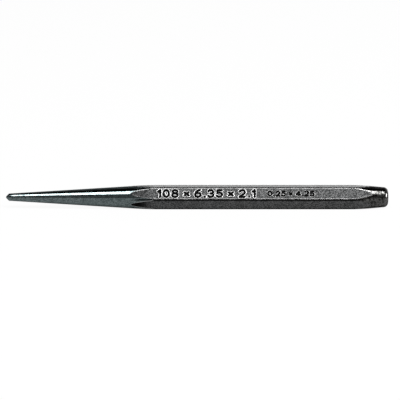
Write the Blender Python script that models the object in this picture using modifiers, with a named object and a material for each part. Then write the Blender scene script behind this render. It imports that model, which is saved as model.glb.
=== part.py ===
"""A one-piece center punch: hexagonal bar with a conical point, a long ground taper and a turned striking head.

Units are metres, +Z up. The punch lies on one of the bar's flats with its point towards -X. The origin is under
the middle of its length, on the surface that it rests on.
"""

import math

import bmesh
import bpy
from mathutils import Vector

# Bar: quarter-inch hexagonal tool steel with rounded corners
LENGTH = 0.108
ACROSS_FLATS = 0.00635
BAR_SIDES = 6
BAR_CORNER_RADIUS = 0.00045
BAR_CORNER_SEGMENTS = 6

# Working end: blunt 90 degree point on a long taper
POINT_DIAMETER = 0.00207
POINT_ANGLE = math.radians(90.0)
NOSE_DIAMETER = 0.00050
TAPER_HALF_ANGLE = math.radians(3.54)

# Struck end: slightly crowned taper, measured where it would meet the flat face, and the rounded edge between them
HEAD_END_DIAMETER = 0.00549
HEAD_END_HALF_ANGLE = math.radians(5.4)
HEAD_CROWN_RADIUS = 0.600
HEAD_CROWN_SEGMENTS = 8
HEAD_EDGE_RADIUS = 0.00127
HEAD_EDGE_SEGMENTS = 10

# Facets round the turned surfaces: a multiple of the bar's sides, so that every flat is cut alike
TURNED_FACETS = 120
AXIS_MERGE_DISTANCE = 0.00001

# Radius at which both turned ends are clear of the bar, and extra bar left past each end for them to cut away
CLEAR_RADIUS = 0.0038
BAR_SPARE = 0.002

# Finish: black oxide over hardened steel, with shading that turns sharp where two surfaces meet at an edge
STEEL_COLOUR = (0.10, 0.105, 0.107, 1.0)
STEEL_ROUGHNESS = 0.42
SHARP_EDGE_ANGLE = math.radians(20.0)

AXIS_HEIGHT = ACROSS_FLATS / 2
ALONG_X = (0.0, math.pi / 2, 0.0)


def clear_scene():
    """Removes every object that the new file starts with."""
    for obj in list(bpy.data.objects):
        bpy.data.objects.remove(obj)


def new_collection(name):
    """A collection of that name, linked to the scene."""
    collection = bpy.data.collections.new(name)
    bpy.context.scene.collection.children.link(collection)
    return collection


def black_oxide_steel():
    """The dark satin finish of the whole punch."""
    material = bpy.data.materials.new("black_oxide_steel")
    material.use_nodes = True
    shader = material.node_tree.nodes["Principled BSDF"]
    shader.inputs["Base Color"].default_value = STEEL_COLOUR
    shader.inputs["Metallic"].default_value = 1.0
    shader.inputs["Roughness"].default_value = STEEL_ROUGHNESS
    return material


def on_punch_axis(name, mesh, collection):
    """An object whose local Z runs along the punch, from the middle of its length towards the head."""
    obj = bpy.data.objects.new(name, mesh)
    obj.location = (0.0, 0.0, AXIS_HEIGHT)
    obj.rotation_euler = ALONG_X
    collection.objects.link(obj)
    return obj


def rounded_edge(before, corner, after):
    """Points of the arc that rounds the head's edge, from the side of before to the side of after."""
    to_before = (before - corner).normalized()
    to_after = (after - corner).normalized()
    half_angle = to_before.angle(to_after) / 2
    setback = HEAD_EDGE_RADIUS / math.tan(half_angle)
    centre = corner + (to_before + to_after).normalized() * HEAD_EDGE_RADIUS / math.sin(half_angle)
    start = corner + to_before * setback - centre
    end = corner + to_after * setback - centre
    steps = [step / HEAD_EDGE_SEGMENTS for step in range(HEAD_EDGE_SEGMENTS + 1)]
    return [centre + start.lerp(end, step).normalized() * HEAD_EDGE_RADIUS for step in steps]


def head_crown():
    """Points of the crowned taper as (radius, height over the nose), from the face's height until clear of the bar."""
    end_radius = HEAD_END_DIAMETER / 2
    end_slope = HEAD_END_HALF_ANGLE
    clear_slope = math.acos(math.cos(end_slope) + (CLEAR_RADIUS - end_radius) / HEAD_CROWN_RADIUS)
    points = []
    for step in range(HEAD_CROWN_SEGMENTS + 1):
        slope = end_slope + (clear_slope - end_slope) * step / HEAD_CROWN_SEGMENTS
        radius = end_radius + HEAD_CROWN_RADIUS * (math.cos(slope) - math.cos(end_slope))
        height = LENGTH - HEAD_CROWN_RADIUS * (math.sin(end_slope) - math.sin(slope))
        points.append(Vector((radius, height)))
    return points


def head_profile():
    """Points of the struck end, from the middle of its flat face until clear of the bar."""
    crown = head_crown()
    face_centre = Vector((0.0, LENGTH))
    return [face_centre, *rounded_edge(face_centre, crown[0], crown[1]), *crown[1:]]


def working_end_profile():
    """Points of the taper, the point and the nose, from where the taper is clear of the bar."""
    point_radius = POINT_DIAMETER / 2
    nose_radius = NOSE_DIAMETER / 2
    point_height = (point_radius - nose_radius) / math.tan(POINT_ANGLE / 2)
    taper_length = (CLEAR_RADIUS - point_radius) / math.tan(TAPER_HALF_ANGLE)
    return [
        Vector((CLEAR_RADIUS, point_height + taper_length)),
        Vector((point_radius, point_height)),
        Vector((nose_radius, 0.0)),
        Vector((0.0, 0.0)),
    ]


def build_turned_shape(collection):
    """What the lathe and the grinder leave standing: the outline of both ends, clear of the bar between them."""
    outline = head_profile() + working_end_profile()
    mesh = bpy.data.meshes.new("turned_shape")
    points = [(radius, 0.0, height - LENGTH / 2) for radius, height in outline]
    mesh.from_pydata(points, [(i, i + 1) for i in range(len(points) - 1)], [])
    turned = on_punch_axis("turned_shape", mesh, collection)
    screw = turned.modifiers.new("Turn", "SCREW")
    screw.axis = "Z"
    screw.steps = TURNED_FACETS
    screw.render_steps = TURNED_FACETS
    screw.use_merge_vertices = True
    screw.merge_threshold = AXIS_MERGE_DISTANCE
    turned.hide_render = True
    turned.display_type = "WIRE"
    return turned


def build_punch(collection, turned):
    """The bar with rounded corners, cut back to the turned shape at both ends."""
    mesh = bpy.data.meshes.new("center_punch")
    bar = bmesh.new()
    corner_radius = ACROSS_FLATS / 2 / math.cos(math.pi / BAR_SIDES)
    bmesh.ops.create_cone(
        bar,
        cap_ends=True,
        segments=BAR_SIDES,
        radius1=corner_radius,
        radius2=corner_radius,
        depth=LENGTH + 2 * BAR_SPARE,
    )
    bar.to_mesh(mesh)
    bar.free()
    punch = on_punch_axis("center_punch", mesh, collection)
    rounding = punch.modifiers.new("Round corners", "BEVEL")
    rounding.width = BAR_CORNER_RADIUS * math.tan(math.pi / BAR_SIDES)
    rounding.segments = BAR_CORNER_SEGMENTS
    cut = punch.modifiers.new("Turn both ends", "BOOLEAN")
    cut.operation = "INTERSECT"
    cut.object = turned
    mesh.shade_smooth()
    mesh.set_sharp_from_angle(angle=SHARP_EDGE_ANGLE)
    mesh.materials.append(black_oxide_steel())
    return punch


def main():
    clear_scene()
    parts = new_collection("center_punch")
    cutters = new_collection("cutters")
    build_punch(parts, build_turned_shape(cutters))


main()
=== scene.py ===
"""Looks of a one-piece center punch: bar, ground taper, turned head, stamped size and steel finishes.

Everything is in metres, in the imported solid's frame: +X runs from the point to the struck end, +Z is up.
"""

import logging
import math
from collections.abc import Sequence
from dataclasses import dataclass, field
from enum import Enum, IntEnum
from typing import Any

import bmesh
import bpy
import numpy as np
from mathutils import Matrix, Vector

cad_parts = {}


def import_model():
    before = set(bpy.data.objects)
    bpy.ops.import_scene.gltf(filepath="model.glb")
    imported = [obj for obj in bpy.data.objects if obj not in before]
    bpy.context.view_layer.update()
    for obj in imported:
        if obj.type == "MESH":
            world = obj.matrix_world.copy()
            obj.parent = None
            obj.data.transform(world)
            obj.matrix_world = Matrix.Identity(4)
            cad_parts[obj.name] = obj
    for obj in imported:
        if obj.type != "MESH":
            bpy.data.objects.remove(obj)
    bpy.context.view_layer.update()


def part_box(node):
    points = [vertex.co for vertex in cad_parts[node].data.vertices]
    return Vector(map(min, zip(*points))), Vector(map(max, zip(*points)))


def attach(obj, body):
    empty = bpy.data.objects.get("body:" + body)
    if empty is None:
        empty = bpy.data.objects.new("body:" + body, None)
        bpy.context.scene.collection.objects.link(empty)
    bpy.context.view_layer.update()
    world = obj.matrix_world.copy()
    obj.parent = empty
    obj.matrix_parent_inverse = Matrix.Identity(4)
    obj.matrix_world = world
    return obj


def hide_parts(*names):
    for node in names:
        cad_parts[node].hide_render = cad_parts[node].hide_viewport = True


LOG = logging.getLogger("center_punch")

PUNCH = "center_punch"
BODY = "root"

MM_PER_M = 1000.0

# Sockets of Blender's Mix node by number, because it has several of each name
MIX_SHARE = 0
MIX_NUMBERS = (2, 3)
MIX_COLOURS = (6, 7)
MIXED_NUMBER = 0
MIXED_COLOUR = 2

Array = np.ndarray
Colour = tuple[float, float, float]
Socket = bpy.types.NodeSocket
Sockets = bpy.types.bpy_prop_collection
Feed = Socket | float | tuple[float, ...]


class Side(IntEnum):
    """Flats of the bar in order round its axis, as the punch lies."""

    TOP = 0
    FRONT_UPPER = 1
    FRONT_LOWER = 2
    BOTTOM = 3
    BACK_LOWER = 4
    BACK_UPPER = 5


SIDE_TURN = 2 * math.pi / len(Side)


class Zone(IntEnum):
    """Parts of the punch's surface, in the order of the mesh's material slots."""

    GROUND = 0
    FLATS = 1
    TURNED = 2


class Trace(Enum):
    """Values that the mesh carries at each vertex for its finishes to read."""

    EDGE = "edge"
    PATH = "path"
    # How far painted shade darkens each stamped groove
    STAMP = "stamp"
    # How far painted shade darkens the oxide
    TINT = "painted_shade"


class Effect(Enum):
    """Surface effects that several finishes share, by the names of their node groups."""

    GRAIN = "steel grain"
    RINGS = "tool rings"
    WEAR = "edge wear"


def smooth_step(value: Array) -> Array:
    """Rises smoothly from 0 to 1 as the value does."""
    held = np.clip(value, 0.0, 1.0)
    return held * held * (3.0 - 2.0 * held)


def smooth_least(first: Array, second: Array, blend: float) -> Array:
    """The lesser of two lengths, with the corner where they cross eased.

    Args:
        first: Lengths of one surface.
        second: Lengths of the other, in a shape that goes with the first.
        blend: Difference of length under which the corner is eased.

    Returns:
        The eased lengths.
    """
    near = np.clip(blend - np.abs(first - second), 0.0, None) / blend
    return np.minimum(first, second) - near * near * blend / 4


def eased_corner(before: Array, corner: Array, after: Array, radius: float, steps: int) -> Array:
    """Points of the arc that rounds one corner of an outline.

    Args:
        before: Point of the outline ahead of the corner.
        corner: The sharp corner.
        after: Point of the outline past the corner.
        radius: Radius of the arc.
        steps: Number of chords in the arc.

    Returns:
        The arc's points as rows, from the side of before to the side of after.
    """
    to_before = (before - corner) / np.linalg.norm(before - corner)
    to_after = (after - corner) / np.linalg.norm(after - corner)
    half_angle = math.acos(float(to_before @ to_after)) / 2
    middle = (to_before + to_after) / np.linalg.norm(to_before + to_after)
    centre = corner + middle * radius / math.sin(half_angle)
    setback = radius / math.tan(half_angle)
    share = np.linspace(0.0, 1.0, steps + 1)[:, None]
    start, end = (corner + towards * setback - centre for towards in (to_before, to_after))
    chord = start * (1 - share) + end * share
    return centre + chord * radius / np.linalg.norm(chord, axis=1, keepdims=True)


def between(start: Array, end: Array, steps: int) -> Array:
    """Points inside a straight run of an outline, without its two ends."""
    share = np.linspace(0.0, 1.0, steps + 1)[1:-1, None]
    return start * (1 - share) + end * share


@dataclass(frozen=True)
class Columns:
    """Lines along the bar's surface in order round its axis, as arrays with one value for each line.

    A direction is a complex number: its real part points up and its imaginary part to the front. The place
    across a flat is measured from the flat's middle line, and is infinite on a rounded corner.
    """

    direction: Array
    radius: Array
    side: Array
    across: Array
    border: Array
    rounded: Array


@dataclass(frozen=True)
class HexBar:
    """Hexagonal tool-steel bar with rolled corners, and flats with a border along each corner."""

    length: float
    across_flats: float
    corner_radius: float = 0.00045
    border_width: float = 0.00017
    flat_steps: int = 17
    corner_steps: int = 8

    @property
    def inradius(self) -> float:
        """Distance from the axis to a flat."""
        return self.across_flats / 2

    @property
    def flat_half(self) -> float:
        """Half the width of a flat between its rounded corners."""
        return (self.inradius - self.corner_radius) * math.tan(SIDE_TURN / 2)

    def columns(self) -> Columns:
        """Places the lines of the mesh round the bar, closer together towards the corners.

        Returns:
            The lines, each flat's own followed by those of the corner after it.
        """
        across = self.flat_half * np.sin(np.linspace(-math.pi / 2, math.pi / 2, self.flat_steps + 1))
        corner_turn = np.linspace(0.0, SIDE_TURN, self.corner_steps + 1)[1:-1]
        corner_centre = (self.inradius - self.corner_radius) / math.cos(SIDE_TURN / 2)
        flat = self.inradius + 1j * across
        corner = corner_centre * np.exp(1j * SIDE_TURN / 2) + self.corner_radius * np.exp(1j * corner_turn)
        side_points = np.concatenate([flat, corner])
        side_across = np.concatenate([across, np.full(len(corner), np.inf)])
        border = np.exp(-(((self.flat_half - np.abs(across)) / self.border_width) ** 2))
        points = np.concatenate([side_points * np.exp(1j * SIDE_TURN * side) for side in Side])
        return Columns(
            direction=points / np.abs(points),
            radius=np.abs(points),
            side=np.repeat(np.arange(len(Side)), len(side_points)),
            across=np.tile(side_across, len(Side)),
            border=np.tile(np.concatenate([border, np.zeros(len(corner))]), len(Side)),
            rounded=np.tile(np.concatenate([np.zeros(len(across)), np.ones(len(corner))]), len(Side)),
        )


@dataclass(frozen=True)
class WorkingEnd:
    """The ground end: a blunt conical point on a long taper."""

    point_diameter: float = 0.00207
    point_angle: float = math.radians(90.0)
    nose_diameter: float = 0.00050
    taper_half_angle: float = math.radians(3.54)
    nose_ease: float = 0.00020
    shoulder_ease: float = 0.00030
    ease_steps: int = 5
    taper_hold: float = 0.0004

    @property
    def point_length(self) -> float:
        """Length of the conical point, from the nose to its shoulder."""
        return (self.point_diameter - self.nose_diameter) / 2 / math.tan(self.point_angle / 2)

    def radius_at(self, along: Array) -> Array:
        """Radius of the taper at a distance from the nose."""
        return self.point_diameter / 2 + (along - self.point_length) * math.tan(self.taper_half_angle)

    def along_at(self, radius: Array) -> Array:
        """Distance from the nose at which the taper has a radius."""
        return self.point_length + (radius - self.point_diameter / 2) / math.tan(self.taper_half_angle)

    def outline(self) -> Array:
        """Draws the nose and the point with eased corners.

        Returns:
            Rows of (distance from the nose, radius), from the nose's rim to just past the shoulder.
        """
        nose = np.array([0.0, 0.0])
        rim = np.array([0.0, self.nose_diameter / 2])
        shoulder = np.array([self.point_length, self.point_diameter / 2])
        taper_along = self.point_length + self.taper_hold
        taper = np.array([taper_along, float(self.radius_at(taper_along))])
        nose_arc = eased_corner(nose, rim, shoulder, self.nose_ease, self.ease_steps)
        shoulder_arc = eased_corner(rim, shoulder, taper, self.shoulder_ease, self.ease_steps)
        cone = between(nose_arc[-1], shoulder_arc[0], self.ease_steps)
        return np.concatenate([nose_arc, cone, shoulder_arc])


@dataclass(frozen=True)
class StruckEnd:
    """The turned end: a crowned taper with faint turning rings, a rounded edge and a flat striking face.

    The end diameter and the end half angle are those of the crown carried on to the striking face.
    """

    length: float
    end_diameter: float = 0.00549
    end_half_angle: float = math.radians(5.4)
    crown_radius: float = 0.600
    edge_radius: float = 0.00127
    edge_steps: int = 18
    face_steps: int = 6
    ring_pitch: float = 0.00086
    ring_depth: float = 0.000007
    ring_wander: float = 0.6
    wander_pitch: float = 0.0031

    @property
    def edge_start(self) -> float:
        """Distance from the nose at which the rounded edge leaves the crown."""
        setback = self.edge_radius * math.tan((math.pi / 2 - self.end_half_angle) / 2)
        return self.length - setback * math.cos(self.end_half_angle)

    def radius_at(self, along: Array) -> Array:
        """Works out the crowned taper without its turning rings.

        Args:
            along: Distances from the nose.

        Returns:
            The radius there or, ahead of the crown's crest, the crest's radius.
        """
        rise = math.sin(self.end_half_angle) - (self.length - along) / self.crown_radius
        lean = np.arcsin(np.maximum(rise, 0.0))
        return self.end_diameter / 2 + self.crown_radius * (np.cos(lean) - math.cos(self.end_half_angle))

    def along_at(self, radius: Array) -> Array:
        """Distance from the nose at which the crowned taper has a radius."""
        cosine = (radius - self.end_diameter / 2) / self.crown_radius + math.cos(self.end_half_angle)
        return self.length - self.crown_radius * (math.sin(self.end_half_angle) - np.sin(np.arccos(cosine)))

    def ring_relief(self, along: Array) -> Array:
        """Works out the turning rings, which run out at the rounded edge.

        Args:
            along: Distances from the nose.

        Returns:
            Their depth under the crowned taper.
        """
        wander = self.ring_wander * np.sin(2 * math.pi * along / self.wander_pitch)
        wave = (1.0 - np.cos(2 * math.pi * along / self.ring_pitch + wander)) / 2
        return self.ring_depth * wave * smooth_step((self.edge_start - along) / self.ring_pitch)

    def outline(self) -> Array:
        """Draws the rounded edge and the striking face.

        Returns:
            Rows of (distance from the nose, radius), from the start of the rounded edge into the face.
        """
        crown = np.array([self.edge_start, float(self.radius_at(self.edge_start))])
        corner = np.array([self.length, self.end_diameter / 2])
        centre = np.array([self.length, 0.0])
        edge = eased_corner(crown, corner, centre, self.edge_radius, self.edge_steps)
        return np.concatenate([edge, between(edge[-1], centre, self.face_steps)])


def stroke_arc(centre: complex, radii: complex, start: float, end: float, steps: int = 16) -> list[complex]:
    """Points of an elliptic stroke of a stamped figure.

    Args:
        centre: Middle of the ellipse, across and up.
        radii: Its radii, across and up.
        start: First angle, in degrees from the right.
        end: Last angle, in degrees.
        steps: Number of chords.

    Returns:
        The points, across and up as complex numbers.
    """
    turns = np.radians(np.linspace(start, end, steps + 1))
    return [centre + complex(radii.real * math.cos(turn), radii.imag * math.sin(turn)) for turn in turns]


# Strokes of the figures, in heights of a figure, and the height at which a row's middle line crosses them
FIGURES: dict[str, tuple[list[complex], ...]] = {
    "0": (stroke_arc(0.30 + 0.50j, 0.30 + 0.50j, 0, 360, steps=28),),
    "1": ([0.02 + 0.76j, 0.24 + 1.00j, 0.24 + 0.00j],),
    "2": ([*stroke_arc(0.30 + 0.70j, 0.29 + 0.30j, 165, -35), 0.00 + 0.00j, 0.60 + 0.00j],),
    "3": (
        stroke_arc(0.28 + 0.75j, 0.26 + 0.25j, 155, -90),
        stroke_arc(0.28 + 0.26j, 0.30 + 0.26j, 90, -155),
    ),
    "4": ([0.46 + 0.00j, 0.46 + 1.00j, 0.00 + 0.30j, 0.66 + 0.30j],),
    "5": (
        [0.56 + 1.00j, 0.08 + 1.00j, 0.04 + 0.56j, *stroke_arc(0.27 + 0.32j, 0.31 + 0.32j, 120, -150)],
    ),
    "6": (
        stroke_arc(0.30 + 0.30j, 0.30 + 0.30j, 0, 360, steps=24),
        stroke_arc(0.62 + 0.30j, 0.62 + 0.72j, 180, 100),
    ),
    "8": (
        stroke_arc(0.30 + 0.77j, 0.26 + 0.23j, 0, 360, steps=24),
        stroke_arc(0.30 + 0.27j, 0.30 + 0.27j, 0, 360, steps=24),
    ),
    "x": ([0.02 + 0.22j, 0.46 + 0.66j], [0.02 + 0.66j, 0.46 + 0.22j]),
    ".": ([0.05 + 0.03j, 0.09 + 0.03j],),
}
FIGURE_MIDDLE = 0.5j


@dataclass(frozen=True)
class SizeStamp:
    """A row of plain figures struck into the middle of a flat."""

    text: str
    start: float
    height: float
    stroke_half: float
    gap: float
    space: float = 0.00095
    widening: float = 1.25
    depth: float = 0.00020
    floor_share: float = 0.35
    lip_height: float = 0.000036
    lip_width: float = 0.00012
    lip_run_out: float = 3.0
    lip_wear: float = 0.88

    @property
    def reach(self) -> float:
        """Distance from a stroke's middle line within which the flat changes."""
        return self.stroke_half + self.lip_run_out * self.lip_width

    def strokes(self) -> list[tuple[complex, complex]]:
        """Sets the figures in a row.

        Returns:
            Straight pieces of every stroke, as pairs of points along the punch and up the flat.
        """
        found = []
        pen = self.start
        for letter in self.text:
            if letter == " ":
                pen += self.space
                continue
            places = [[pen + self._scaled(point) for point in stroke] for stroke in FIGURES[letter]]
            found += [pair for stroke in places for pair in zip(stroke, stroke[1:])]
            pen = max(point.real for stroke in places for point in stroke) + self.gap
        return found

    def _scaled(self, point: complex) -> complex:
        """A point of a figure at the stamp's size, from the pen's place on the middle line."""
        return complex(point.real * self.widening, (point - FIGURE_MIDDLE).imag) * self.height

    def span(self) -> tuple[float, float]:
        """Distances from the nose between which the stamp changes the flat."""
        ends = [point.real for pair in self.strokes() for point in pair]
        return min(ends) - self.reach, max(ends) + self.reach

    def distance(self, places: Array) -> Array:
        """Distance of places on the flat to the nearest stroke.

        Args:
            places: Distance from the nose and up the flat, as complex numbers.

        Returns:
            The distances.
        """
        nearest = np.full(len(places), np.inf)
        for start, end in self.strokes():
            run = end - start
            share = np.clip(((places - start) * run.conjugate()).real / abs(run) ** 2, 0.0, 1.0)
            nearest = np.minimum(nearest, np.abs(places - start - share * run))
        return nearest

    def groove(self, distance: Array) -> Array:
        """How deep the figure is struck at a distance from the strokes' middle lines, from 0 to 1."""
        floor_half = self.floor_share * self.stroke_half
        return 1.0 - smooth_step((distance - floor_half) / (self.stroke_half - floor_half))

    def lip(self, distance: Array) -> Array:
        """How far the metal is pushed up beside the strokes, from 0 to 1."""
        return np.exp(-(((distance - self.stroke_half - self.lip_width) / self.lip_width) ** 2))


class NodeSketch:
    """Places and links the nodes of one shader tree."""

    def __init__(self, tree: bpy.types.NodeTree) -> None:
        """Starts on a tree, whose nodes stay."""
        self.tree = tree

    def add(self, kind: str, feeds: dict[str | int, Feed] | None = None, **settings: Any) -> bpy.types.Node:
        """Adds a node.

        Args:
            kind: Blender's name for the node's type.
            feeds: What goes into its inputs.
            settings: Properties of the node.

        Returns:
            The node.
        """
        node = self.tree.nodes.new(kind)
        for name, value in settings.items():
            setattr(node, name, value)
        self.feed(node, feeds or {})
        return node

    def feed(self, node: bpy.types.Node, feeds: dict[str | int, Feed]) -> None:
        """Fills inputs of a node.

        Args:
            node: The node.
            feeds: What goes into its inputs: a socket to link, or a value to set.
        """
        for key, feed in feeds.items():
            if isinstance(feed, Socket):
                self.tree.links.new(feed, node.inputs[key])
            else:
                node.inputs[key].default_value = feed

    def maths(self, operation: str, *values: Feed) -> Socket:
        """Result of one operation of the Math node on one to three values."""
        return self.add("ShaderNodeMath", dict(enumerate(values)), operation=operation).outputs[0]

    def ranged(self, value: Feed, low: Feed, high: Feed, to_low: Feed = 0.0, to_high: Feed = 1.0) -> Socket:
        """A value moved smoothly from the range low to high into another, and held there."""
        feeds = {"Value": value, "From Min": low, "From Max": high, "To Min": to_low, "To Max": to_high}
        return self.add("ShaderNodeMapRange", feeds, interpolation_type="SMOOTHSTEP").outputs["Result"]

    def mixed(self, share: Feed, *colours: Socket | Colour) -> Socket:
        """A colour between two, by a share from 0 to 1."""
        feeds = [(*colour, 1.0) if isinstance(colour, tuple) else colour for colour in colours]
        return self._mix(share, MIX_COLOURS, feeds, "RGBA").outputs[MIXED_COLOUR]

    def blended(self, share: Feed, *numbers: Feed) -> Socket:
        """A number between two, by a share from 0 to 1."""
        return self._mix(share, MIX_NUMBERS, numbers, "FLOAT").outputs[MIXED_NUMBER]

    def _mix(self, share: Feed, keys: tuple[int, int], ends: Sequence[Feed], kind: str) -> bpy.types.Node:
        """A Mix node between two ends of one kind of value."""
        return self.add("ShaderNodeMix", {MIX_SHARE: share, **dict(zip(keys, ends))}, data_type=kind)

    def trace(self, trace: Trace) -> Socket:
        """A value that the mesh carries."""
        return self.add("ShaderNodeAttribute", attribute_name=trace.value).outputs["Fac"]

    def place_mm(self) -> Socket:
        """The place on the punch, in millimetres."""
        feeds = {0: self.add("ShaderNodeTexCoord").outputs["Object"], "Scale": MM_PER_M}
        return self.add("ShaderNodeVectorMath", feeds, operation="SCALE").outputs[0]

    def stretched(self, vector: Feed, scale: tuple[float, float, float]) -> Socket:
        """A vector with each part scaled on its own."""
        return self.add("ShaderNodeVectorMath", {0: vector, 1: scale}, operation="MULTIPLY").outputs[0]

    def noise(self, vector: Feed, scale: Feed, detail: float = 2.0, roughness: float = 0.5) -> Socket:
        """Soft noise from 0 to 1, with its middle at a half."""
        feeds = {"Vector": vector, "Scale": scale, "Detail": detail, "Roughness": roughness}
        return self.add("ShaderNodeTexNoise", feeds).outputs["Fac"]


@dataclass
class EffectLibrary:
    """Node groups of the surface effects, each built once and placed in several finishes."""

    noise_middle: float = 0.5
    grain_detail: float = 3.0
    grain_roughness: float = 0.6
    patches_per_grain: float = 0.17
    ring_wander_mm: float = 0.12
    ring_wander_detail: float = 1.0
    ring_detail: float = 2.0
    ring_roughness: float = 0.55
    wear_start: float = 0.75
    wear_border: float = 0.6
    wear_breakage: float = 0.8
    groups: dict[Effect, bpy.types.NodeTree] = field(init=False)

    def __post_init__(self) -> None:
        """Builds every group."""
        self.groups = {
            Effect.GRAIN: self._grain(),
            Effect.RINGS: self._rings(),
            Effect.WEAR: self._wear(),
        }

    @staticmethod
    def _start(
        effect: Effect, inputs: dict[str, float], outputs: tuple[str, ...]
    ) -> tuple[NodeSketch, Sockets, bpy.types.Node]:
        """Starts a group with number sockets.

        Args:
            effect: The effect that the group makes.
            inputs: Names of its inputs and their first values.
            outputs: Names of its outputs.

        Returns:
            A sketch on the group's tree, the values given to the group, and the node that takes its results.
        """
        tree = bpy.data.node_groups.new(effect.value, "ShaderNodeTree")
        for name, value in inputs.items():
            socket = tree.interface.new_socket(name, in_out="INPUT", socket_type="NodeSocketFloat")
            socket.default_value = value
        for name in outputs:
            tree.interface.new_socket(name, in_out="OUTPUT", socket_type="NodeSocketFloat")
        sketch = NodeSketch(tree)
        return sketch, sketch.add("NodeGroupInput").outputs, sketch.add("NodeGroupOutput")

    def _grain(self) -> bpy.types.NodeTree:
        """Builds the mottling of the oxide, in patches with finer grains on them.

        Returns:
            The group, with the grains' mask and height.
        """
        inputs = {"Grains per mm": 2.0, "Patchiness": 0.2, "Softness": 0.2}
        sketch, given, result = self._start(Effect.GRAIN, inputs, ("Mask", "Height"))
        place = sketch.place_mm()
        fine = sketch.noise(place, given["Grains per mm"], self.grain_detail, self.grain_roughness)
        patches_per_mm = sketch.maths("MULTIPLY", given["Grains per mm"], self.patches_per_grain)
        patches = sketch.maths("SUBTRACT", sketch.noise(place, patches_per_mm), self.noise_middle)
        level = sketch.maths("MULTIPLY_ADD", patches, given["Patchiness"], fine)
        low = sketch.maths("SUBTRACT", self.noise_middle, given["Softness"])
        high = sketch.maths("ADD", self.noise_middle, given["Softness"])
        sketch.feed(result, {"Mask": sketch.ranged(level, low, high), "Height": fine})
        return sketch.tree

    def _rings(self) -> bpy.types.NodeTree:
        """Builds the fine rings that a tool or wheel leaves round a turned surface.

        Returns:
            The group, with the rings' height.
        """
        inputs = {"Rings per mm": 8.0, "Wander": 0.4}
        sketch, given, result = self._start(Effect.RINGS, inputs, ("Height",))
        along = sketch.maths("MULTIPLY", sketch.trace(Trace.PATH), MM_PER_M)
        wander = sketch.noise(sketch.place_mm(), given["Wander"], self.ring_wander_detail)
        feeds = {
            "W": sketch.maths("MULTIPLY_ADD", wander, self.ring_wander_mm, along),
            "Scale": given["Rings per mm"],
            "Detail": self.ring_detail,
            "Roughness": self.ring_roughness,
        }
        rings = sketch.add("ShaderNodeTexNoise", feeds, noise_dimensions="1D")
        sketch.feed(result, {"Height": rings.outputs["Fac"]})
        return sketch.tree

    def _wear(self) -> bpy.types.NodeTree:
        """Builds what handling has rubbed off the edges, with a broken border.

        Returns:
            The group, with the mask of the bare steel.
        """
        inputs = {"Amount": 0.6, "Breaks per mm": 1.2}
        sketch, given, result = self._start(Effect.WEAR, inputs, ("Mask",))
        place = sketch.place_mm()
        breaks = sketch.noise(place, given["Breaks per mm"], self.grain_detail, self.grain_roughness)
        edge = sketch.maths("SUBTRACT", sketch.trace(Trace.EDGE), self.wear_start)
        border = sketch.maths("MULTIPLY_ADD", breaks, self.wear_breakage, edge)
        mask = sketch.ranged(border, 0.0, self.wear_border)
        sketch.feed(result, {"Mask": sketch.maths("MULTIPLY", mask, given["Amount"])})
        return sketch.tree

    def place(self, sketch: NodeSketch, effect: Effect, values: dict[str, float]) -> Sockets:
        """Places a group in a finish's tree with its own values, and gives the outputs of its node."""
        return sketch.add("ShaderNodeGroup", values, node_tree=self.groups[effect]).outputs


@dataclass(frozen=True)
class SteelFinish:
    """A finish of the punch's steel: mottled oxide, painted shade, tool marks and worn edges.

    Of the two values of roughness, the first is that of the light grains and the second of the deep ones.
    """

    name: str
    deep: Colour
    light: Colour
    bare: Colour
    roughness: tuple[float, float]
    worn_roughness: float
    grains_per_mm: float
    patchiness: float
    softness: float
    grain_height: float
    line_height: float
    wear: float
    rim_shade: float
    # Colour and roughness of the painted shade
    painted_shade_colour: Colour = (0.002, 0.002, 0.002)
    painted_shade_roughness: float = 0.75

    def material(self, effects: EffectLibrary) -> bpy.types.Material:
        """Builds the finish.

        Args:
            effects: The shared node groups.

        Returns:
            The material.
        """
        material = bpy.data.materials.new(self.name)
        material.use_nodes = True
        sketch = NodeSketch(material.node_tree)
        grain = effects.place(
            sketch,
            Effect.GRAIN,
            {"Grains per mm": self.grains_per_mm, "Patchiness": self.patchiness, "Softness": self.softness},
        )
        worn = effects.place(sketch, Effect.WEAR, {"Amount": self.wear})["Mask"]
        # Painted shade: the traced darkening of the oxide, mixed into colour and roughness
        painted_shade = sketch.trace(Trace.TINT)
        colour = sketch.mixed(grain["Mask"], self.deep, self.light)
        colour = sketch.mixed(painted_shade, colour, self.painted_shade_colour)
        roughness = sketch.ranged(grain["Mask"], 0.0, 1.0, self.roughness[1], self.roughness[0])
        roughness = sketch.blended(painted_shade, roughness, self.painted_shade_roughness)
        colour, roughness = self._marked(sketch, colour, roughness)
        colour = sketch.mixed(worn, colour, self.bare)
        roughness = sketch.blended(worn, roughness, self.worn_roughness)
        height = sketch.maths("MULTIPLY", self._lines(sketch, effects), self.line_height)
        height = sketch.maths("MULTIPLY_ADD", grain["Height"], self.grain_height, height)
        bump = sketch.add("ShaderNodeBump", {"Height": height, "Distance": 1.0, "Strength": 1.0})
        feeds = {
            "Base Color": colour,
            "Metallic": 1.0,
            "Roughness": roughness,
            "Specular Tint": (self.rim_shade, self.rim_shade, self.rim_shade, 1.0),
            "Normal": bump.outputs["Normal"],
        }
        sketch.feed(material.node_tree.nodes["Principled BSDF"], feeds)
        return material

    def _lines(self, sketch: NodeSketch, effects: EffectLibrary) -> Socket:
        """The tool's lines on the surface, from 0 to 1, which each kind of finish makes in its own way."""
        raise NotImplementedError

    def _marked(self, sketch: NodeSketch, colour: Socket, roughness: Socket) -> tuple[Socket, Socket]:
        """Colour and roughness with any marks of this finish alone."""
        return colour, roughness


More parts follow.
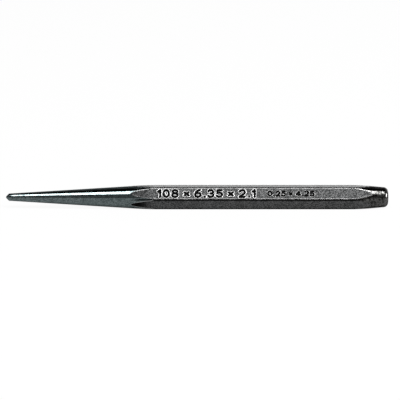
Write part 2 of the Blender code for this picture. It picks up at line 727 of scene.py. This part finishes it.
@dataclass(frozen=True)
class TurnedFinish(SteelFinish):
    """Steel turned or ground round the punch's axis, with the rings of the tool or the wheel."""

    rings_per_mm: float = 7.0
    ring_wander: float = 0.4

    def _lines(self, sketch: NodeSketch, effects: EffectLibrary) -> Socket:
        """The rings round the surface, from 0 to 1."""
        rings = {"Rings per mm": self.rings_per_mm, "Wander": self.ring_wander}
        return effects.place(sketch, Effect.RINGS, rings)["Height"]


@dataclass(frozen=True)
class FlatFinish(SteelFinish):
    """The bar's own black oxide, with drawing lines along it and figures darkened by painted shade in their
    grooves.
    """

    # Colour and roughness of the painted shade in the stamped grooves
    stamp_painted_shade: Colour = (0.004, 0.004, 0.004)
    stamp_roughness: float = 0.70
    lines_per_mm: tuple[float, float, float] = (0.12, 5.0, 5.0)

    def _lines(self, sketch: NodeSketch, effects: EffectLibrary) -> Socket:
        """The lines that the drawing die leaves along the bar, from 0 to 1."""
        return sketch.noise(sketch.stretched(sketch.place_mm(), self.lines_per_mm), 1.0)

    def _marked(self, sketch: NodeSketch, colour: Socket, roughness: Socket) -> tuple[Socket, Socket]:
        """Darkens the stamped figures with painted shade in their grooves.

        Args:
            sketch: The finish's tree.
            colour: The oxide's colour.
            roughness: The oxide's roughness.

        Returns:
            The colour and the roughness with the figures.
        """
        # The painted shade of the stamped grooves
        stamp = sketch.trace(Trace.STAMP)
        marked = sketch.mixed(stamp, colour, self.stamp_painted_shade)
        return marked, sketch.blended(stamp, roughness, self.stamp_roughness)


FINISHES: dict[Zone, SteelFinish] = {
    Zone.GROUND: TurnedFinish(
        name="ground_taper_steel",
        deep=(0.047, 0.060, 0.061),
        light=(0.134, 0.160, 0.163),
        bare=(0.250, 0.268, 0.270),
        roughness=(0.07, 0.11),
        worn_roughness=0.16,
        grains_per_mm=3.3,
        patchiness=0.2,
        softness=0.14,
        grain_height=0.0000002,
        line_height=0.0000004,
        wear=0.7,
        rim_shade=0.45,
    ),
    Zone.FLATS: FlatFinish(
        name="black_oxide_flats",
        deep=(0.020, 0.021, 0.021),
        light=(0.093, 0.094, 0.095),
        bare=(0.345, 0.345, 0.345),
        roughness=(0.40, 0.52),
        worn_roughness=0.17,
        grains_per_mm=2.8,
        patchiness=0.15,
        softness=0.15,
        grain_height=0.000008,
        line_height=0.000003,
        wear=1.0,
        rim_shade=1.0,
    ),
    Zone.TURNED: TurnedFinish(
        name="turned_head_steel",
        deep=(0.010, 0.010, 0.009),
        light=(0.078, 0.078, 0.076),
        bare=(0.260, 0.259, 0.255),
        roughness=(0.12, 0.18),
        worn_roughness=0.16,
        grains_per_mm=1.9,
        patchiness=0.3,
        softness=0.14,
        grain_height=0.0000010,
        line_height=0.0000020,
        wear=0.8,
        rim_shade=0.50,
        rings_per_mm=6.0,
    ),
}

# Length, width across flats and point in millimetres, then width and length in inches in smaller figures
STAMPS = (
    SizeStamp(text="108 x 6.35 x 2.1", start=0.0430, height=0.00200, stroke_half=0.00030, gap=0.00096),
    SizeStamp(
        text="0.25 x 4.25",
        start=0.0740,
        height=0.00135,
        stroke_half=0.00023,
        gap=0.00056,
        space=0.00060,
        lip_width=0.00008,
        lip_wear=0.72,
    ),
)


@dataclass(frozen=True)
class MeshRows:
    """The punch's surface as rings of vertices from nose to striking face, without its two end points.

    The arrays hold one row for each ring and one column for each line along the bar.
    """

    along: Array
    radius: Array
    edge: Array
    # Painted shade: how far each vertex is darkened
    painted_shade: Array
    zone: Array


@dataclass
class CenterPunch:
    """The punch as one piece, with its size, its ends, its stamps and its finishes.

    A tuple of six values has one for each Side, in order.
    """

    low: Vector
    high: Vector
    bar: HexBar = field(init=False)
    working_end: WorkingEnd = field(default_factory=WorkingEnd)
    struck_end: StruckEnd = field(init=False)
    stamps: tuple[SizeStamp, ...] = STAMPS
    stamp_side: Side = Side.FRONT_UPPER
    flat_tolerance: float = 0.000003

    # Eased edge between a flat and a turned end, and the easings that the plain bar keeps clear of it
    edge_blend: float = 0.000045
    edge_clearance: float = 2.0

    # Edges that handling rubs: borders of the flats, scallops and the head's rounded edge, barer on the
    # upper sides partly as a painted highlight
    border_wear_and_sheen: tuple[float, ...] = (0.60, 0.78, 0.00, 0.00, 0.00, 0.60)
    corner_fade: float = 0.00040
    taper_wear: float = 0.00080
    head_wear: float = 0.00110
    head_rubbed_and_sheen: tuple[float, ...] = (1.00, 1.00, 0.30, 0.30, 0.30, 1.00)
    round_fade: float = 0.00025
    round_wear: float = 0.42
    upper_round_wear_and_sheen: float = 0.16
    upper_start: float = -0.5

    # Painted shade on the oxide: behind the taper's scallops, on the corners, along the lower flats' borders
    # and under the stamped tongue
    painted_shade_sides: tuple[float, ...] = (0.70, 0.40, 1.00, 1.00, 0.90, 0.80)
    painted_shade_full: float = 0.0020
    painted_shade_end: float = 0.0066
    border_painted_shade: tuple[float, ...] = (0.00, 0.00, 1.00, 1.00, 1.00, 0.00)
    corner_painted_shade: float = 0.95
    corner_shade_lead: float = 0.0064
    corner_shade_lead_fade: float = 0.0024
    head_painted_shade: float = 0.95
    head_painted_shade_start: float = 0.30
    head_painted_shade_width: float = 0.0018

    # Rings of the mesh on each stretch of the punch, and its finer cells round the figures
    taper_rows: int = 44
    ease_rows: int = 10
    taper_scallop_rows: int = 24
    head_scallop_rows: int = 8
    bar_rows: int = 22
    head_rows: int = 54
    stamp_step: float = 0.00029
    stamp_cuts: int = 4

    def __post_init__(self) -> None:
        """Takes the bar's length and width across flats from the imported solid's box."""
        size = self.high - self.low
        self.bar = HexBar(length=size.x, across_flats=size.z)
        self.struck_end = StruckEnd(length=size.x)

    def build(self) -> bpy.types.Object:
        """Builds the punch's mesh in its place.

        Returns:
            The new object, in the scene.
        """
        columns = self.bar.columns()
        rows = self._rows(columns)
        mesh = self._mesh(columns, rows)
        self._refine(mesh)
        self._strike(mesh)
        mesh.shade_smooth()
        punch = bpy.data.objects.new(PUNCH + "_steel", mesh)
        bpy.context.scene.collection.objects.link(punch)
        LOG.info("%s: %d vertices, %d faces", punch.name, len(mesh.vertices), len(mesh.polygons))
        return punch

    def dress(self, punch: bpy.types.Object, effects: EffectLibrary) -> None:
        """Gives each zone of the punch its finish.

        Args:
            punch: The built punch.
            effects: The shared node groups.
        """
        for zone in Zone:
            material = FINISHES[zone].material(effects)
            punch.data.materials.append(material)
            LOG.info("%s: finish %s", punch.name, material.name)

    def seat(self, punch: bpy.types.Object) -> None:
        """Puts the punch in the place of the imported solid, on its body.

        Args:
            punch: The built punch.
        """
        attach(punch, BODY)
        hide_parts(PUNCH)

    def _bar_stations(self, start: float, end: float) -> Array:
        """Spaces the rings on the plain bar, closer together as far as the stamps go.

        Args:
            start: Distance from the nose at which the plain bar starts.
            end: Distance at which it ends.

        Returns:
            The rings' distances from the nose.
        """
        stamp_end = max(stamp.span()[1] for stamp in self.stamps) + self.stamp_step
        stamped = np.arange(start, stamp_end, self.stamp_step)
        after = np.linspace(stamped[-1] + self.stamp_step, end, self.bar_rows)
        return np.concatenate([stamped, after])

    def _rows(self, columns: Columns) -> MeshRows:
        """Works out the rings of the surface, with rows that follow the scallops at both ends of the flats.

        Args:
            columns: The lines along the bar.

        Returns:
            The rings.
        """
        nose, tail = self.working_end.outline(), self.struck_end.outline()
        taper_end = self.working_end.along_at(columns.radius)
        head_start = self.struck_end.along_at(columns.radius)
        taper_ease = self.edge_blend / math.tan(self.working_end.taper_half_angle)
        head_ease = self.edge_blend / math.tan(self.struck_end.end_half_angle)
        ones = np.ones_like(columns.radius)
        bar_start = float(taper_end.max()) + self.edge_clearance * taper_ease
        bar_end = float(head_start.min()) - self.edge_clearance * head_ease
        taper = self._section(nose[-1, 0] * ones, taper_end - taper_ease, self.taper_rows)
        flats = [
            self._section(taper_end - taper_ease, taper_end + taper_ease, self.ease_rows),
            self._section(taper_end + taper_ease, bar_start * ones, self.taper_scallop_rows),
            self._bar_stations(bar_start, bar_end)[:-1, None] * ones,
            self._section(bar_end * ones, head_start - head_ease, self.head_scallop_rows),
        ]
        head = [
            self._section(head_start - head_ease, head_start + head_ease, self.ease_rows),
            self._section(head_start + head_ease, tail[0, 0] * ones, self.head_rows),
        ]
        middle = np.concatenate([taper, *flats, *head])[1:]
        crown = self.struck_end.radius_at(middle) - self.struck_end.ring_relief(middle)
        turned = np.where(middle < self.bar.length / 2, self.working_end.radius_at(middle), crown)
        radius = smooth_least(turned, columns.radius, self.edge_blend)
        along = np.concatenate([nose[:, :1] * ones, middle, tail[:, :1] * ones])
        radius = np.concatenate([nose[:, 1:] * ones, radius, tail[:, 1:] * ones])
        # Each finish runs on to the middle of the eased edge after it
        ground_rows = len(nose) + len(taper) - 1 + self.ease_rows // 2
        flat_rows = ground_rows + sum(len(section) for section in flats)
        zone = np.full(len(along) - 1, Zone.TURNED)
        zone[:flat_rows] = Zone.FLATS
        zone[:ground_rows] = Zone.GROUND
        edge = self._edges(columns, along, taper_end, head_start)
        painted_shade = self._painted_shade(columns, along, taper_end, head_start)
        return MeshRows(along, radius, edge, painted_shade, zone)

    @staticmethod
    def _section(start: Array, end: Array, rows: int) -> Array:
        """Rings from one border to just short of another."""
        share = np.linspace(0.0, 1.0, rows, endpoint=False)[:, None]
        return start * (1 - share) + end * share

    def _edges(self, columns: Columns, along: Array, taper_end: Array, head_start: Array) -> Array:
        """Finds the edges that handling rubs: borders, scallops and the head's rounded edge, barer on the
        upper sides partly as a painted highlight.

        Args:
            columns: The lines along the bar.
            along: Distances of the vertices from the nose.
            taper_end: Distance at which each line leaves the taper.
            head_start: Distance at which each line reaches the head.

        Returns:
            How far each vertex is on such an edge, from 0 to 1.
        """
        # Bare borders on the upper flats only: partly wear, partly painted highlight
        border = np.array(self.border_wear_and_sheen)[columns.side] * columns.border
        border = border * smooth_step((along - taper_end) / self.corner_fade)
        border = border * smooth_step((head_start - along) / self.corner_fade)
        at_taper = np.exp(-(((along - taper_end) / self.taper_wear) ** 2))
        at_head = np.exp(-(((along - head_start) / self.head_wear) ** 2))
        # Scallop edges barer on the upper sides at the head: partly wear, partly painted highlight
        scallop = np.maximum(at_taper, at_head * np.array(self.head_rubbed_and_sheen)[columns.side])
        lean = np.minimum(np.abs(columns.across) / self.bar.flat_half, 1.0)
        scallop = scallop * np.sqrt(lean) * (1.0 - columns.rounded)
        # The upper part of the head's rounded edge is barer: partly wear, partly painted highlight
        upper = smooth_step(columns.direction.real - self.upper_start)
        rounded = smooth_step((along - self.struck_end.edge_start) / self.round_fade)
        rounded = rounded * (self.round_wear + self.upper_round_wear_and_sheen * upper)
        return np.maximum(np.maximum(border, scallop), rounded)

    def _painted_shade(self, columns: Columns, along: Array, taper_end: Array, head_start: Array) -> Array:
        """Finds the painted shade: behind the taper's scallops, on the corners and under the stamped tongue.

        Args:
            columns: The lines along the bar.
            along: Distances of the vertices from the nose.
            taper_end: Distance at which each line leaves the taper.
            head_start: Distance at which each line reaches the head.

        Returns:
            How far each vertex is darkened by painted shade, from 0 to 1.
        """
        past_tip, past_head = along - taper_end.min(), along - head_start
        fade = smooth_step((past_tip - self.painted_shade_full) / (self.painted_shade_end - self.painted_shade_full))
        # Painted shade behind the taper's scallops, strongest on the lower sides
        behind = np.array(self.painted_shade_sides)[columns.side] * (1.0 - fade) * (along > taper_end)
        # Painted shade on the rounded corners and along the lower flats' borders
        corner = np.array(self.border_painted_shade)[columns.side] * columns.border
        corner = corner + self.corner_painted_shade * columns.rounded
        lead_in = smooth_step((along - taper_end + self.corner_shade_lead) / self.corner_shade_lead_fade)
        run_out = smooth_step(1.0 - past_head / self.corner_fade)
        # Painted shade under the stamped tongue, on the head
        lower_half = smooth_step(columns.across / self.bar.flat_half / self.head_painted_shade_start)
        under = self.head_painted_shade * lower_half * (columns.side == self.stamp_side)
        under = under * (1.0 - smooth_step(past_head / self.head_painted_shade_width - 1.0)) * (past_head > 0.0)
        return np.maximum(np.maximum(behind, corner * lead_in * run_out), under)

    def _mesh(self, columns: Columns, rows: MeshRows) -> bpy.types.Mesh:
        """Joins the rings into a closed mesh with its zones and the values that the finishes read.

        Args:
            columns: The lines along the bar.
            rows: The rings.

        Returns:
            The mesh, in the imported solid's frame.
        """
        ring_count, column_count = rows.along.shape
        axis_height = (self.low.z + self.high.z) / 2
        offset = rows.radius * columns.direction
        ring_points = np.stack([self.low.x + rows.along, -offset.imag, axis_height + offset.real], axis=-1)
        ends = np.array([[self.low.x, 0.0, axis_height], [self.high.x, 0.0, axis_height]])
        points = np.concatenate([ring_points.reshape(-1, 3), ends])
        index = np.arange(ring_count * column_count).reshape(ring_count, column_count)
        following = np.roll(index, -1, axis=1)
        quads = np.stack([index[:-1], following[:-1], following[1:], index[1:]], axis=-1).reshape(-1, 4)
        nose, tail = ring_count * column_count, ring_count * column_count + 1
        fans = [(b, a, nose) for a, b in zip(index[0], following[0])]
        fans += [(a, b, tail) for a, b in zip(index[-1], following[-1])]
        mesh = bpy.data.meshes.new(PUNCH + "_steel")
        mesh.from_pydata(points.tolist(), [], quads.tolist() + [tuple(map(int, fan)) for fan in fans])
        fan_zones = np.repeat([Zone.GROUND, Zone.TURNED], column_count)
        zones = np.concatenate([np.repeat(rows.zone, column_count), fan_zones])
        mesh.polygons.foreach_set("material_index", zones.astype(np.int32))
        steps = np.hypot(np.diff(rows.along, axis=0), np.diff(rows.radius, axis=0))
        path = np.concatenate([rows.radius[:1], rows.radius[:1] + np.cumsum(steps, axis=0)])
        path_ends = [0.0, float((path[-1] + rows.radius[-1]).mean())]
        self._store(mesh, Trace.PATH, np.concatenate([path.ravel(), path_ends]))
        self._store(mesh, Trace.EDGE, np.concatenate([rows.edge.ravel(), [0.0, 0.0]]))
        self._store(mesh, Trace.TINT, np.concatenate([rows.painted_shade.ravel(), [0.0, 0.0]]))
        return mesh

    @staticmethod
    def _store(mesh: bpy.types.Mesh, trace: Trace, values: Array) -> None:
        """Writes one value for each vertex into the mesh."""
        attribute = mesh.attributes.new(trace.value, "FLOAT", "POINT")
        attribute.data.foreach_set("value", values.astype(np.float32))

    @property
    def _stamp_normal(self) -> complex:
        """Direction out of the stamped flat: its real part points to the back and its imaginary part up."""
        turn = self.stamp_side * SIDE_TURN
        return complex(-math.sin(turn), math.cos(turn))

    def _on_stamped_flat(self, mesh: bpy.types.Mesh) -> tuple[Array, Array]:
        """Finds the vertices on the stamped flat.

        Args:
            mesh: The punch's mesh.

        Returns:
            Their indices, and their places along the punch and up the flat as complex numbers.
        """
        points = self._points(mesh)
        section = (points[:, 1] + 1j * (points[:, 2] - (self.low.z + self.high.z) / 2)) / self._stamp_normal
        on_flat = np.flatnonzero(np.abs(section.real - self.bar.inradius) < self.flat_tolerance)
        return on_flat, points[on_flat, 0] - self.low.x - 1j * section.imag[on_flat]

    @staticmethod
    def _points(mesh: bpy.types.Mesh) -> Array:
        """Reads the places of the mesh's vertices.

        Args:
            mesh: The punch's mesh.

        Returns:
            The places, one row each.
        """
        points = np.empty(len(mesh.vertices) * 3, np.float32)
        mesh.vertices.foreach_get("co", points)
        return points.reshape(-1, 3).astype(float)

    def _refine(self, mesh: bpy.types.Mesh) -> None:
        """Divides the faces round the strokes of the stamps.

        Args:
            mesh: The punch's mesh, which is changed.
        """
        found, places = self._on_stamped_flat(mesh)
        near = np.zeros(len(mesh.vertices), bool)
        for stamp in self.stamps:
            near[found] |= stamp.distance(places) < stamp.reach
        fine = bmesh.new()
        fine.from_mesh(mesh)
        edges = [edge for edge in fine.edges if near[edge.verts[0].index] and near[edge.verts[1].index]]
        bmesh.ops.subdivide_edges(fine, edges=edges, cuts=self.stamp_cuts, use_grid_fill=True)
        fine.to_mesh(mesh)
        fine.free()

    def _strike(self, mesh: bpy.types.Mesh) -> None:
        """Strikes the figures into their flat and stores the painted shade of their grooves.

        Args:
            mesh: The refined mesh, which is changed.
        """
        found, places = self._on_stamped_flat(mesh)
        points = self._points(mesh)
        shade = np.zeros(len(points))
        rubbed = np.empty(len(points), np.float32)
        edge = mesh.attributes[Trace.EDGE.value]
        edge.data.foreach_get("value", rubbed)
        for stamp in self.stamps:
            distance = stamp.distance(places)
            groove, lip = stamp.groove(distance), stamp.lip(distance)
            relief = stamp.lip_height * lip - stamp.depth * groove
            points[found, 1] += relief * self._stamp_normal.real
            points[found, 2] += relief * self._stamp_normal.imag
            # Painted shade in the grooves, darkest where they are deepest
            shade[found] = np.maximum(shade[found], np.sqrt(groove))
            rubbed[found] = np.maximum(rubbed[found], stamp.lip_wear * lip)
            struck = np.count_nonzero(groove)
            LOG.info("%s: figures %s struck into %d vertices", mesh.name, stamp.text, struck)
        mesh.vertices.foreach_set("co", points.astype(np.float32).ravel())
        edge.data.foreach_set("value", rubbed)
        self._store(mesh, Trace.STAMP, shade)
        mesh.update()


@dataclass(frozen=True)
class Softbox:
    """A soft rectangular lamp: how bright its face is, where it hangs and how large it looks from the punch.

    The place is an angle over the floor, in a plane across the punch, and a lean out of that plane towards
    the struck end. The width is along the punch. All angles are in degrees.
    """

    name: str
    brightness: float
    lean: float
    elevation: float
    width: float
    height: float
    distance: float = 2.0

    def build(self, target: Vector) -> None:
        """Hangs the lamp.

        Args:
            target: The place that the lamp is turned to.
        """
        light = bpy.data.lights.new(self.name, "AREA")
        light.shape = "RECTANGLE"
        light.size, light.size_y = (
            2 * self.distance * math.tan(math.radians(angle / 2)) for angle in (self.width, self.height)
        )
        light.energy = self.brightness * math.pi * light.size * light.size_y
        lean, elevation = math.radians(self.lean), math.radians(self.elevation)
        level = math.cos(lean)
        towards = Vector((math.sin(lean), -level * math.cos(elevation), level * math.sin(elevation)))
        along = Vector((1.0, 0.0, 0.0))
        across_view = (along - towards * towards.dot(along)).normalized()
        lamp = bpy.data.objects.new(self.name, light)
        lamp.location = target + towards * self.distance
        axes = Matrix((across_view, towards.cross(across_view), towards)).transposed()
        lamp.rotation_euler = axes.to_euler()
        bpy.context.scene.collection.objects.link(lamp)


SOFTBOXES = (
    Softbox("point_softbox", brightness=18.0, lean=-10.5, elevation=60.0, width=6.8, height=27.0),
    Softbox("middle_softbox", brightness=2.5, lean=2.0, elevation=63.0, width=15.0, height=36.0),
    Softbox("head_softbox", brightness=22.0, lean=13.8, elevation=59.0, width=4.8, height=36.0),
    Softbox("side_softbox", brightness=23.0, lean=64.0, elevation=49.0, width=20.0, height=28.0),
)


@dataclass(frozen=True)
class Studio:
    """Pale floor, soft light and the camera at the photograph's angle."""

    centre: Vector
    length: float
    softboxes: tuple[Softbox, ...] = SOFTBOXES
    floor_half: float = 4.0
    floor_drop: float = 0.00002
    floor_colour: Colour = (0.77, 0.77, 0.77)
    floor_white: float = 0.93
    floor_white_in_steel: float = 0.30
    room_level: float = 0.33
    ceiling_level: float = 0.008
    ceiling_elevation: float = math.radians(78.0)
    ceiling_border: tuple[float, float] = (math.radians(46.0), math.radians(35.0))
    wall_level: float = 2.70
    wall_sides: tuple[float, float] = (0.45, 0.85)
    wall_top: tuple[float, float] = (0.17, 0.50)
    camera_elevation: float = math.radians(12.0)
    lens_mm: float = 200.0
    sensor_mm: float = 36.0
    photo_width: float = 400.0
    length_in_photo: float = 381.8
    centre_in_photo: tuple[float, float] = (197.05, 197.12)

    def build(self) -> None:
        """Builds the floor, the light, the surroundings and the camera."""
        bpy.context.scene.view_settings.view_transform = "Standard"
        self._floor()
        for softbox in self.softboxes:
            softbox.build(self.centre)
        self._surroundings()
        self._camera()

    def _floor(self) -> None:
        """Lays a pale floor under the punch, part of it plain white as the camera and the steel see it."""
        mesh = bpy.data.meshes.new("floor")
        half, low = self.floor_half, -self.floor_drop
        corners = [(-half, -half, low), (half, -half, low), (half, half, low), (-half, half, low)]
        mesh.from_pydata(corners, [], [(0, 1, 2, 3)])
        material = bpy.data.materials.new("pale_floor")
        material.use_nodes = True
        sketch = NodeSketch(material.node_tree)
        shader, output = (material.node_tree.nodes[name] for name in ("Principled BSDF", "Material Output"))
        colour = (*self.floor_colour, 1.0)
        sketch.feed(shader, {"Base Color": colour, "Roughness": 1.0, "Specular IOR Level": 0.0})
        rays = sketch.add("ShaderNodeLightPath").outputs
        mirrored = sketch.maths("MAXIMUM", rays["Is Glossy Ray"], rays["Is Transmission Ray"])
        seen = sketch.maths("MULTIPLY", rays["Is Camera Ray"], self.floor_white)
        share = sketch.maths("MULTIPLY_ADD", mirrored, self.floor_white_in_steel, seen)
        white = sketch.add("ShaderNodeEmission", {"Color": (1.0, 1.0, 1.0, 1.0), "Strength": 1.0})
        surface = sketch.add("ShaderNodeMixShader", {0: share, 1: shader.outputs[0], 2: white.outputs[0]})
        sketch.feed(output, {"Surface": surface.outputs[0]})
        mesh.materials.append(material)
        floor = bpy.data.objects.new("floor", mesh)
        bpy.context.scene.collection.objects.link(floor)

    def _surroundings(self) -> None:
        """Makes a dim room with a pale wall behind the punch and a dark ceiling that leans to the front."""
        world = bpy.data.worlds.new("studio")
        world.use_nodes = True
        sketch = NodeSketch(world.node_tree)
        direction = sketch.add("ShaderNodeTexCoord").outputs["Generated"]
        parts = sketch.add("ShaderNodeSeparateXYZ", {0: direction}).outputs
        wall_top = sketch.ranged(parts["Z"], *self.wall_top, 1.0, 0.0)
        wall = sketch.maths("MULTIPLY", sketch.ranged(parts["Y"], *self.wall_sides), wall_top)
        ceiling = (0.0, -math.cos(self.ceiling_elevation), math.sin(self.ceiling_elevation))
        to_ceiling = sketch.add("ShaderNodeVectorMath", {0: direction, 1: ceiling}, operation="DOT_PRODUCT")
        border = (math.cos(angle) for angle in self.ceiling_border)
        room = sketch.ranged(to_ceiling.outputs["Value"], *border, self.room_level, self.ceiling_level)
        level = sketch.maths("MULTIPLY_ADD", wall, self.wall_level, room)
        sketch.feed(world.node_tree.nodes["Background"], {"Color": level})
        bpy.context.scene.world = world

    def _camera(self) -> None:
        """Places the camera at the photograph's angle and framing."""
        pixel = self.length / self.length_in_photo
        up = Vector((0.0, math.sin(self.camera_elevation), math.cos(self.camera_elevation)))
        back = Vector((0.0, -math.cos(self.camera_elevation), math.sin(self.camera_elevation)))
        across_pixels = self.photo_width / 2 - self.centre_in_photo[0]
        up_pixels = self.centre_in_photo[1] - self.photo_width / 2
        target = self.centre + (Vector((across_pixels, 0.0, 0.0)) + up * up_pixels) * pixel
        distance = self.photo_width * pixel * self.lens_mm / self.sensor_mm
        data = bpy.data.cameras.new("camera")
        data.lens = self.lens_mm
        data.sensor_width = self.sensor_mm
        camera = bpy.data.objects.new("camera", data)
        camera.location = target + back * distance
        camera.rotation_euler = back.to_track_quat("Z", "Y").to_euler()
        bpy.context.scene.collection.objects.link(camera)
        bpy.context.scene.camera = camera


def main() -> None:
    """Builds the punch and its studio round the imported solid."""
    logging.basicConfig(level=logging.INFO, format="%(name)s: %(message)s")
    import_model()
    low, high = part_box(PUNCH)
    punch = CenterPunch(low, high)
    piece = punch.build()
    punch.dress(piece, EffectLibrary())
    punch.seat(piece)
    Studio(centre=(low + high) / 2, length=high.x - low.x).build()


if __name__ == "__main__":
    main()
